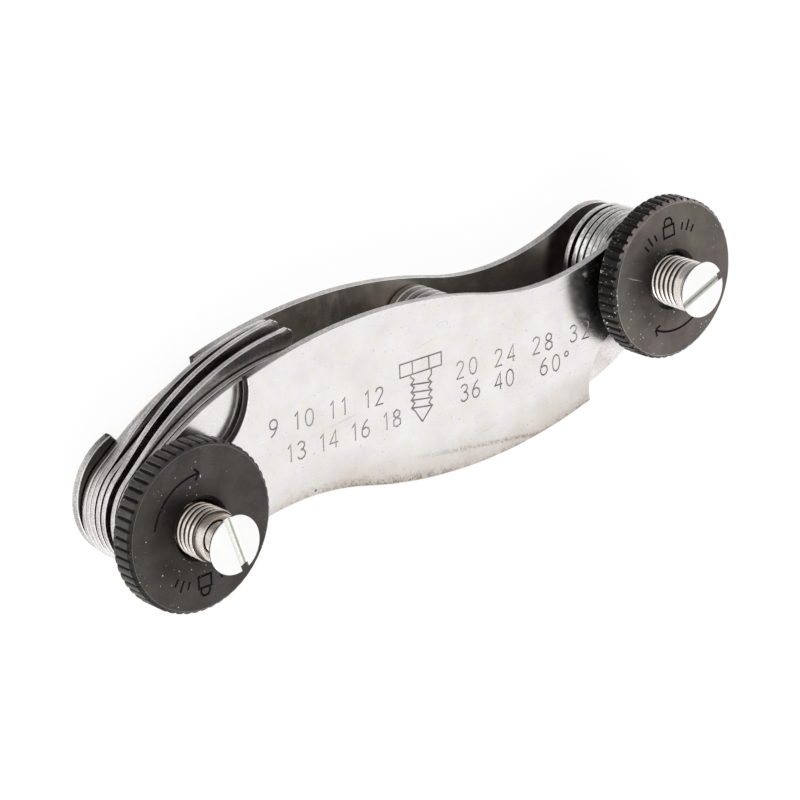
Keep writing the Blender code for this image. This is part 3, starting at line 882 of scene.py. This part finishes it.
def add_studs():
    for side, centre, length in (
        ("left", LEFT_STUD, LEFT_LAND_LENGTH), ("right", RIGHT_STUD, RIGHT_LAND_LENGTH),
    ):
        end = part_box(f"{side}_stud")[1].z
        land = end - length
        low = PLATE_FACE - HIDDEN_THREAD
        plain = [
            (0.0, SPIGOT_INSET), (SPIGOT_RADIUS, SPIGOT_INSET), (SPIGOT_RADIUS, PLATE_THICKNESS),
            (THREAD_CREST, PLATE_THICKNESS), (THREAD_CREST, low), (0.0, low),
        ]
        bm = turned(plain, 64, centre)
        threads = bmesh.new()
        thread(threads, centre, low, land)
        merge(bm, threads)
        tip = [  # a slight taper, then the tapped mouth
            (0.0, land - 0.3 * MM), (THREAD_ROOT, land - 0.3 * MM),
            (LAND_RADIUS - 0.02 * MM, land - 0.02 * MM),
            (LAND_RADIUS - 0.16 * MM, end - 0.25 * MM), (LAND_RADIUS - 0.2 * MM, end - 0.15 * MM),
            (LAND_RADIUS - 0.26 * MM, end - 0.07 * MM), (LAND_RADIUS - 0.33 * MM, end - 0.01 * MM),
            (MOUTH_RADIUS + 0.05 * MM, end),
            (MOUTH_RADIUS, end - 0.03 * MM), (TAPPING_RADIUS, end - 0.6 * MM),
            (TAPPING_RADIUS, end - TAPPING_DEPTH), (0.0, end - TAPPING_DEPTH),
        ]
        merge(bm, turned(tip, 64, centre))
        piece(f"{side}_stud_piece", leaned(bm), (nickel, nickel_root_shade), "case", (f"{side}_stud",))


def add_screws():
    # each row ends with the stops of the painted shade in its slot's bottom corners
    for side, centre, slot_angle, slot_corner_shade in (
        ("left", LEFT_STUD, LEFT_SLOT_ANGLE, ((0.0, 0.38), (0.22, 0.6), (0.5, 0.93))),
        ("right", RIGHT_STUD, RIGHT_SLOT_ANGLE, ((0.0, 0.5), (0.08, 0.78), (0.3, 0.97))),
    ):
        low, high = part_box(f"{side}_retaining_screw")
        top, rim = high.z, high.z - HEAD_RIM
        profile = [
            (0.0, low.z), (SHANK_RADIUS, low.z), (SHANK_RADIUS, rim - (HEAD_RADIUS - SHANK_RADIUS)),
            (HEAD_RADIUS - 0.62 * MM, rim - 0.72 * MM), (HEAD_RADIUS - 0.32 * MM, rim - 0.46 * MM),
            (HEAD_RADIUS - 0.1 * MM, rim - 0.2 * MM), (HEAD_RADIUS, rim + 0.02 * MM),
        ]
        profile += [
            (HEAD_RADIUS - HEAD_EDGE * (1 - math.cos(a)), top - HEAD_EDGE * (1 - math.sin(a)))
            for a in (0.0, 0.4, 0.8, 1.2, 1.57)
        ]
        profile += [(0.0, top)]
        screw = piece(f"{side}_retaining_screw_piece", leaned(turned(profile, 96, centre)), (chrome,), "case",
                      (f"{side}_retaining_screw",))
        bm = bmesh.new()
        bmesh.ops.create_cube(bm, size=1.0)
        box = Matrix.Diagonal((3 * HEAD_RADIUS, SLOT_WIDTH, 2 * SLOT_DEPTH, 1.0))
        middle = centre.to_2d() + LEAN * top
        middle.x += LEFT_SLOT_SHIFT if side == "left" else 0.0
        place = Matrix.Translation((middle.x, middle.y, top)) @ Matrix.Rotation(slot_angle, 4, "Z") @ box
        bmesh.ops.transform(bm, matrix=place, verts=bm.verts)
        mesh = as_mesh("slot", bm)
        mesh.materials.append(slot_metal(f"{side}_slot", middle, slot_angle, top - SLOT_DEPTH, slot_corner_shade))
        cutter = add_object("slot", mesh)
        subtract(screw, object=cutter)
        bpy.data.objects.remove(cutter)


def nut_marks(centre, level, arrow, lock):
    """A clockwise arrow, and a padlock between two rows of ticks, round the stud at the angles given."""
    def at(radius, degrees):
        return Vector((*polar(centre, radius * MM, math.radians(degrees)), level))

    sweep = [at(6.1, arrow + 39.0 - 78.0 * i / 24) for i in range(25)]
    tip = at(6.1, arrow - 39.0)
    strokes = [(sweep, False), ([tip, at(6.75, arrow - 33.5)], False), ([tip, at(5.45, arrow - 33.5)], False)]
    body = ((5.3, -9.0), (5.3, 9.0), (6.6, 7.2), (6.6, -7.2))
    shackle = ((6.6, -4.9), (7.1, -4.7), (7.45, -2.4), (7.45, 2.4), (7.1, 4.7), (6.6, 4.9))
    strokes.append(([at(r, lock + a) for r, a in body], True))
    strokes.append(([at(r, lock + a) for r, a in shackle], False))
    for turn in (-1, 1):
        for i in range(3):
            degrees = lock + turn * (20.0 + 8.0 * i)
            strokes.append(([at(5.7, degrees), at(7.0 if i == 1 else 6.6, degrees)], False))
    return strokes


def add_nuts():
    samples = 10
    sides = NUT_TOOTH_COUNT * samples
    grooves = (0.0, 0.0, 0.0, 0.0, 0.04, 0.5, 1.0, 1.0, 0.5, 0.04)  # over one tooth of the knurl
    plain = NUT_RADIUS - NUT_CHAMFER
    steps = [NUT_CHAMFER * k / CHAMFER_STEPS for k in range(CHAMFER_STEPS + 1)]
    for side, centre, marks, faces in (
        ("left", LEFT_STUD, (119.0, 262.0),
         (left_black, left_black_face, left_black_rim, left_black_bevel, black_groove)),
        ("right", RIGHT_STUD, (-89.0, 88.0),
         (right_black, right_black_face, right_black_rim, right_black_bevel, black_groove)),
    ):
        low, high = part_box(f"{side}_lock_nut")
        low, high = low.z, high.z
        rings = [(STUD_BORE, low), (STUD_BORE + 0.01 * MM, low)]
        rings += [(plain + t, low + t) for t in steps] + [(plain + t, high - t) for t in reversed(steps)]
        rings += [(plain - NUT_EDGE, high), (STUD_BORE + NUT_MOUTH, high), (STUD_BORE, high - NUT_MOUTH)]
        bm = bmesh.new()
        loops = []
        for radius, level in rings:
            loops.append([
                bm.verts.new((*polar(
                    centre, min(radius, NUT_RADIUS - NUT_TOOTH_DEPTH * grooves[i % samples]),
                    math.tau * i / sides), level))
                for i in range(sides)
            ])
        rim = len(rings) - 4  # the bands of faces: knurled side, chamfer, rim, face
        side_band = rim - CHAMFER_STEPS - 1
        for number, (a, b) in enumerate(zip(loops, loops[1:] + loops[:1])):
            for i in range(sides):
                face = bm.faces.new((a[i - 1], a[i], b[i], b[i - 1]))
                if number >= rim:
                    face.material_index = 2 if number == rim else 1
                elif number > side_band:
                    face.material_index = 3
                valley = min(grooves[i % samples], grooves[(i - 1) % samples]) > 0.4
                if valley and side_band <= number < side_band + 4:
                    face.material_index = 4
        nut = piece(f"{side}_lock_nut_piece", bm, faces, f"{side}_nut", (f"{side}_lock_nut",))
        cut(nut, nut_marks(centre, high, *marks), NUT_MARK_RADIUS, black_groove)


# Strokes as (points, closed), in shares of a digit's height
DIGIT_WIDTH = 0.57
DIGITS = {
    "°": [([(0.17 + 0.15 * math.cos(a), 0.84 + 0.15 * math.sin(a)) for a in
            (0.0, 0.79, 1.57, 2.36, 3.14, 3.93, 4.71, 5.5)], True)],
    "0": [([(0.3, 1.0), (0.12, 0.9), (0.03, 0.65), (0.03, 0.35), (0.12, 0.1), (0.3, 0.0), (0.48, 0.1),
            (0.57, 0.35), (0.57, 0.65), (0.48, 0.9)], True)],
    "1": [([(0.12, 0.8), (0.32, 1.0), (0.32, 0.0)], False)],
    "2": [([(0.04, 0.78), (0.12, 0.94), (0.3, 1.0), (0.5, 0.92), (0.55, 0.74), (0.48, 0.56), (0.04, 0.0),
            (0.57, 0.0)], False)],
    "3": [([(0.05, 0.84), (0.16, 0.97), (0.32, 1.0), (0.5, 0.9), (0.52, 0.72), (0.42, 0.58), (0.24, 0.54)],
           False),
          ([(0.24, 0.54), (0.46, 0.48), (0.57, 0.3), (0.5, 0.1), (0.3, 0.0), (0.12, 0.04), (0.03, 0.18)],
           False)],
    "4": [([(0.44, 0.0), (0.44, 1.0), (0.02, 0.3), (0.58, 0.3)], False)],
    "6": [([(0.48, 1.0), (0.26, 0.84), (0.08, 0.54), (0.03, 0.3), (0.1, 0.09), (0.3, 0.0), (0.5, 0.09),
            (0.57, 0.3), (0.5, 0.5), (0.3, 0.58), (0.12, 0.5)], False)],
    "8": [([(0.3, 0.54), (0.1, 0.64), (0.08, 0.86), (0.3, 1.0), (0.52, 0.86), (0.5, 0.64)], True),
          ([(0.3, 0.54), (0.06, 0.4), (0.05, 0.12), (0.3, 0.0), (0.55, 0.12), (0.54, 0.4)], True)],
    "9": [([(0.12, 0.0), (0.34, 0.16), (0.52, 0.46), (0.57, 0.7), (0.5, 0.91), (0.3, 1.0), (0.1, 0.91),
            (0.03, 0.7), (0.1, 0.5), (0.3, 0.42), (0.48, 0.5)], False)],
}


def numbers(text, start, end):
    """Stroke digits spread along the line from start to end on the plate's face."""
    height = MARK_HEIGHT
    along = (end - start).normalized()
    across = Vector((-along.y, along.x))
    step = ((end - start).length - DIGIT_WIDTH * height) / (len(text) - 1)
    strokes = []
    for i, letter in enumerate(text):
        for points, closed in DIGITS.get(letter, []):
            placed = [start + along * (step * i + x * height) + across * (y * height) for x, y in points]
            strokes.append(([Vector((p.x, p.y, PLATE_FACE)) for p in placed], closed))
    return strokes


def plate_marks():
    """The pitches of both stacks in plain numbers, and an outline of a threaded bolt between them."""
    def at(x, y):
        return Vector((x * MM, y * MM))

    strokes = []
    for text, start, end in (
        ("9 10 11 12", at(-21.7, 3.88), at(-6.15, 1.1)),
        ("20 24 28 32", at(4.3, -0.62), at(24.2, -3.95)),
        ("13 14 16 18", at(-20.1, 0.12), at(-4.3, -2.42)),
        ("36 40", at(4.4, -3.5), at(12.2, -4.75)),
        ("60°", at(16.2, -5.45), at(21.0, -6.25)),
    ):
        strokes += numbers(text, start, end)

    # the bolt, along its axis
    down = Vector((-0.155, -0.988))
    side = Vector((0.988, -0.155))
    top = at(-0.15, 3.9)

    def point(x, y):
        p = top + side * (x * MM) + down * (y * MM)
        return Vector((p.x, p.y, PLATE_FACE))

    strokes.append(([point(-3.0, 0.0), point(3.0, 0.0), point(3.0, 1.5), point(-3.0, 1.5)], True))
    strokes.append(([point(-1.2, 0.0), point(-1.2, 1.5)], False))
    strokes.append(([point(1.2, 0.0), point(1.2, 1.5)], False))
    crests = 5
    for s in (-1, 1):
        shift = 0.45 if s > 0 else 0.0
        line = [point(s * 1.5, 1.5)]
        for i in range(crests):
            line += [point(s * 1.5, 1.75 + shift + 0.9 * i), point(s * 1.0, 2.2 + shift + 0.9 * i)]
        line.append(point(0.0, 7.3))
        strokes.append((line, False))
    for i in range(crests - 1):
        strokes.append(([point(-1.5, 2.65 + 0.9 * i), point(1.5, 3.1 + 0.9 * i)], False))
    return strokes


add_plates()
add_leaves()
add_washers()
add_studs()
add_screws()
add_nuts()


# ---- stage, light and camera

def add_floor():
    bm = bmesh.new()
    bmesh.ops.create_grid(bm, x_segments=1, y_segments=1, size=4.0)
    floor = add_object("floor", as_mesh("floor", bm))
    floor.location.z = -0.02 * MM  # just clear of the back plate
    mat, shader = surface("floor_white", (0.96, 0.96, 0.96), 0.9, 0.0)
    shader.inputs["Specular IOR Level"].default_value = 0.0
    g = Graph(mat)
    path = g.add("ShaderNodeLightPath")
    seen = g.add("ShaderNodeMath", operation="MAXIMUM")
    g.link(path.outputs["Is Camera Ray"], seen.inputs[0])
    g.link(path.outputs["Is Glossy Ray"], seen.inputs[1])
    share = g.add("ShaderNodeMath", operation="MULTIPLY")
    share.inputs[1].default_value = FLOOR_GLOW_SHARE
    g.link(seen.outputs[0], share.inputs[0])
    glow = g.add("ShaderNodeEmission")
    glow.inputs["Strength"].default_value = FLOOR_GLOW
    g.blend_shaders(share.outputs[0], shader.outputs[0], glow.outputs[0], "Material Output")
    floor.data.materials.append(mat)
    floor.visible_glossy = False


def add_light(name, toward, distance, size, power):
    """A square softbox, in the direction toward from the part, facing it."""
    direction = Vector(toward).normalized()
    data = bpy.data.lights.new(name, "AREA")
    data.shape = "SQUARE"
    data.size = size
    data.energy = power
    light = add_object(name, data)
    light.location = direction * distance
    light.rotation_euler = direction.to_track_quat("Z", "Y").to_euler()


def add_world():
    """A white tent that is open, and dark, on one side."""
    world = bpy.data.worlds.new("studio")
    bpy.context.scene.world = world
    world.use_nodes = True
    g = Graph(world)
    opening = g.add("ShaderNodeVectorMath", operation="DOT_PRODUCT")
    opening.inputs[1].default_value = (0.2, 0.98, 0.0)
    g.link(g.add("ShaderNodeTexCoord").outputs["Generated"], opening.inputs[0])
    tent = g.tree.nodes["Background"]
    tone = g.ramp(opening.outputs["Value"], (0.0, 1.0), (0.46, 1.0), (0.58, 0.78), (0.67, 0.42), (1.0, 0.34))
    g.link(tone, tent.inputs["Color"])
    white = g.add("ShaderNodeBackground")
    white.inputs["Color"].default_value = (1.0, 1.0, 1.0, 1.0)
    path = g.add("ShaderNodeLightPath")
    g.blend_shaders(path.outputs["Is Camera Ray"], tent.outputs[0], white.outputs[0], "World Output")


def add_camera():
    """The camera fitted to the photograph."""
    data = bpy.data.cameras.new("camera")
    data.sensor_width = 36.0
    data.lens = 160.62
    data.clip_start = 0.01
    camera = add_object("camera", data)
    right = Vector((0.738, -0.150, 0.658)).normalized()
    forward = Vector((0.547, -0.437, -0.714))
    forward = (forward - right * forward.dot(right)).normalized()
    up = right.cross(forward)
    turn = Matrix((right, up, -forward)).transposed().to_4x4()
    camera.matrix_world = Matrix.Translation((-0.21494, 0.16902, 0.28510)) @ turn
    bpy.context.scene.camera = camera


add_floor()
add_light("key", toward=(-0.25, -0.55, 0.8), distance=0.6, size=0.3, power=0.5)
add_world()
add_camera()
bpy.context.scene.view_settings.view_transform = "Standard"
